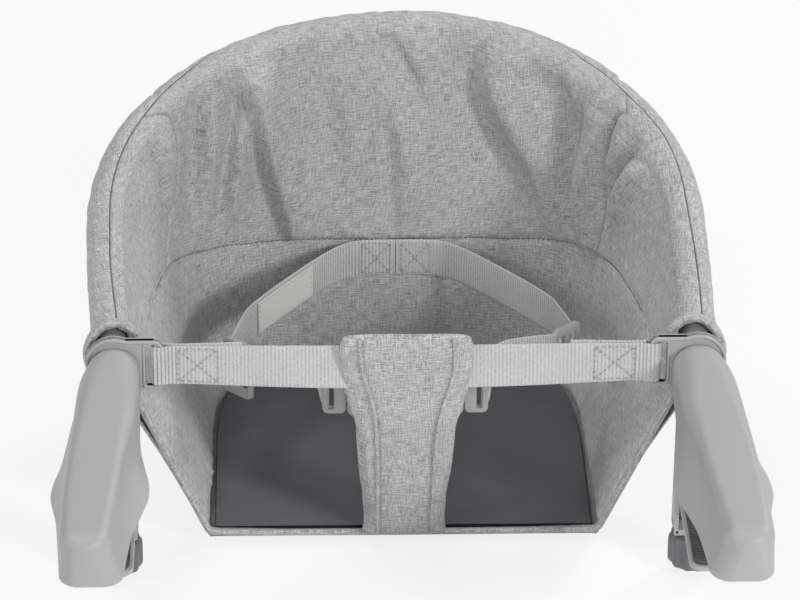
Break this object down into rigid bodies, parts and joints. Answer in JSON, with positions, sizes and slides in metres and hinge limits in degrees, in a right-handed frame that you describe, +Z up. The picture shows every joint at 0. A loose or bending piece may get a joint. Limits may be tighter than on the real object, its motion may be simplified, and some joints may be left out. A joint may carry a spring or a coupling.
{
  "type": "hook-on table chair",
  "caption": "Fabric bucket seat on a bent tube, held at a table edge by folding arms with screw clamps, with a front strap, crotch pad and waist harness.",
  "frame": {"origin": "on the table top at the middle of the table's edge, on the plane of symmetry", "axes": "+X to the right seen from the table, +Y away from the table towards the seat's back, +Z up; the arms point along -Y"},
  "size_m": [0.4018, 0.4838, 0.2325],
  "materials": {
    "arm_plastic": "fine moulded texture, light grey",
    "dark_plastic": "moulded, mid grey",
    "buckle_plastic": "moulded, light grey",
    "bush_plastic": "natural white moulded",
    "tube_metal": "satin powder coat, grey",
    "steel": "zinc plated",
    "brass": "machined",
    "rubber": "soft, dark grey",
    "seat_cloth": "woven polyester, grey",
    "webbing": "ribbed polyester webbing, pale grey",
    "floor_cloth": "smooth coated cloth, dark grey",
    "board": "plain sheet, dark",
    "label_cloth": "plain woven tab, blank, off-white"
  },
  "bodies": {
    "frame": {"hoop_tube": "tube_metal", "rim_sleeve": "seat_cloth", "seat_cover": "seat_cloth", "back_panel": "seat_cloth", "lower_band": "seat_cloth", "base_cloth": "seat_cloth", "seat_board": "board", "floor_panel": "floor_cloth", "front_strap": "webbing", "crotch_pad": "seat_cloth", "crotch_strap": "webbing", "buckle_body": "buckle_plastic", "label_tab": "label_cloth", "left_waist_strap": "webbing", "right_waist_strap": "webbing", "left_side_panel": "seat_cloth", "right_side_panel": "seat_cloth", "left_fold_washer": "bush_plastic", "right_fold_washer": "bush_plastic", "left_tube_plug": "dark_plastic", "right_tube_plug": "dark_plastic", "left_collar": "arm_plastic", "right_collar": "arm_plastic"},
    "left_arm": {"left_arm_shell": "arm_plastic", "left_arm_base": "dark_plastic", "left_table_pad": "rubber", "left_rear_bush": "bush_plastic", "left_front_bush": "bush_plastic", "left_clamp_post": "arm_plastic", "left_post_screw_inner": "steel", "left_post_screw_outer": "steel", "left_base_screw_1": "steel", "left_base_screw_2": "steel"},
    "right_arm": {"right_arm_shell": "arm_plastic", "right_arm_base": "dark_plastic", "right_table_pad": "rubber", "right_rear_bush": "bush_plastic", "right_front_bush": "bush_plastic", "right_clamp_post": "arm_plastic", "right_post_screw_inner": "steel", "right_post_screw_outer": "steel", "right_base_screw_1": "steel", "right_base_screw_2": "steel"},
    "left_lead": {"left_lead_screw": "steel", "left_knob": "dark_plastic"},
    "right_lead": {"right_lead_screw": "steel", "right_knob": "dark_plastic"},
    "left_jaw": {"left_jaw": "arm_plastic", "left_jaw_nut": "brass", "left_jaw_pad": "rubber"},
    "right_jaw": {"right_jaw": "arm_plastic", "right_jaw_nut": "brass", "right_jaw_pad": "rubber"},
    "left_tongue": {"left_buckle_tongue": "buckle_plastic", "left_forward_strap": "webbing", "left_adjuster": "buckle_plastic"},
    "right_tongue": {"right_buckle_tongue": "buckle_plastic", "right_forward_strap": "webbing", "right_adjuster": "buckle_plastic"}
  },
  "joints": [
    {"name": "left_arm_fold", "type": "hinge", "parent": "frame", "child": "left_arm", "pos_m": [-0.169, 0, 0.015], "axis": [0, -1, 0], "range_deg": [0, 90]},
    {"name": "right_arm_fold", "type": "hinge", "parent": "frame", "child": "right_arm", "pos_m": [0.169, 0, 0.015], "axis": [0, 1, 0], "range_deg": [0, 90]},
    {"name": "left_knob_turn", "type": "hinge", "parent": "left_arm", "child": "left_lead", "pos_m": [-0.169, 0.009, 0], "axis": [0, 0, 1], "range_deg": [-1199, 1319]},
    {"name": "right_knob_turn", "type": "hinge", "parent": "right_arm", "child": "right_lead", "pos_m": [0.169, 0.009, 0], "axis": [0, 0, 1], "range_deg": [-1199, 1319]},
    {"name": "left_jaw_lift", "type": "slide", "parent": "left_arm", "child": "left_jaw", "axis": [0, 0, 1], "range_m": [-0.02, 0.022]},
    {"name": "right_jaw_lift", "type": "slide", "parent": "right_arm", "child": "right_jaw", "axis": [0, 0, 1], "range_m": [-0.02, 0.022]},
    {"name": "left_tongue_release", "type": "slide", "parent": "frame", "child": "left_tongue", "axis": [-1, 0, 0], "range_m": [0, 0.018]},
    {"name": "right_tongue_release", "type": "slide", "parent": "frame", "child": "right_tongue", "axis": [1, 0, 0], "range_m": [0, 0.018]}
  ],
  "couplings": [
    {"joint": "left_jaw_lift", "follows": "left_knob_turn", "m_per_rad": 0.00095493},
    {"joint": "right_jaw_lift", "follows": "right_knob_turn", "m_per_rad": 0.00095493}
  ]
}
